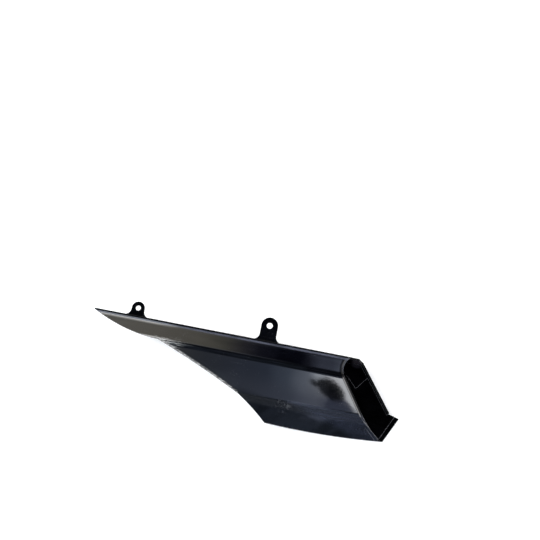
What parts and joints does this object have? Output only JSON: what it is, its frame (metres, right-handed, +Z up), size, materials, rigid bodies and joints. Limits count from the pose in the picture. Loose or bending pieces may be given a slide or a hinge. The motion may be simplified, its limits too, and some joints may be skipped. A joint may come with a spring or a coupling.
{
  "type": "motorcycle seat side panel",
  "caption": "Right-hand side panel of a motorcycle seat unit: a glossy moulded wing with a duct that opens towards the front and tabs hidden under the tail cover.",
  "frame": {"origin": "centre of the main fixing hole, on the upper face of its tab", "axes": "+X forward along the seam with the tail cover, +Y inboard towards the tail cover (left), +Z up, square to the tabs"},
  "size_m": [0.341, 0.1094, 0.032],
  "materials": {
    "gelcoat": "glossy black gelcoat outside, bare dark glass-fibre laminate inside the duct"
  },
  "bodies": {
    "root": {"side_panel": "gelcoat"}
  },
  "joints": []
}
